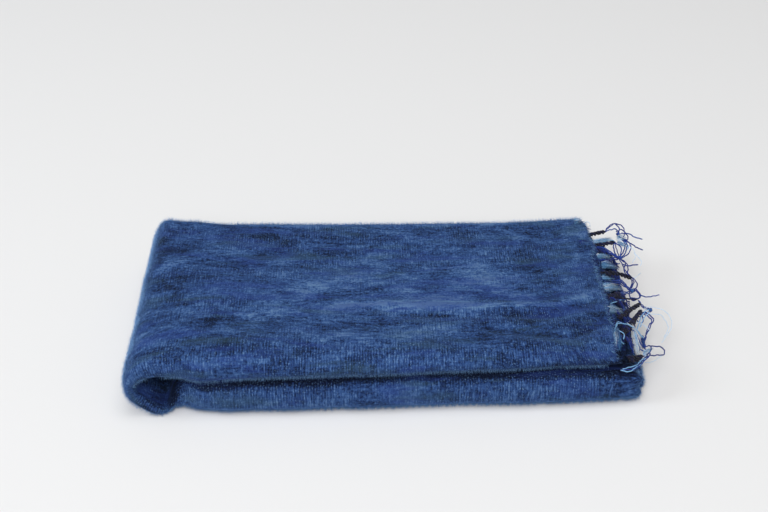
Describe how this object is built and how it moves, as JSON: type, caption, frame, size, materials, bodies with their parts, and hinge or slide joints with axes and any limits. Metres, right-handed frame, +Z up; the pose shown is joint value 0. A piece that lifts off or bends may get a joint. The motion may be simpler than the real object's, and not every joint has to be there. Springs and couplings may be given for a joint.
{
  "type": "wool shawl",
  "caption": "Wide wool shawl folded into a flat rectangular pile, with twisted tassel fringe at one end and a loose rounded fold at the other.",
  "frame": {"origin": "middle of the pile's footprint, on the surface it rests on", "axes": "+X along the pile towards the fringe, +Y from the smooth lengthwise fold towards the layered edges, +Z up"},
  "size_m": [0.5325, 0.2635, 0.0669],
  "materials": {
    "wool_cloth": "brushed wool weave, streaky royal and denim blue",
    "fringe_threads": "twisted dark navy and royal blue warp threads"
  },
  "bodies": {
    "root": {"cloth_upper_half": "wool_cloth", "cloth_end_fold": "wool_cloth", "cloth_lower_half": "wool_cloth", "fringe_row_1": "fringe_threads", "fringe_row_2": "fringe_threads", "fringe_row_3": "fringe_threads", "fringe_row_4": "fringe_threads"}
  },
  "joints": []
}
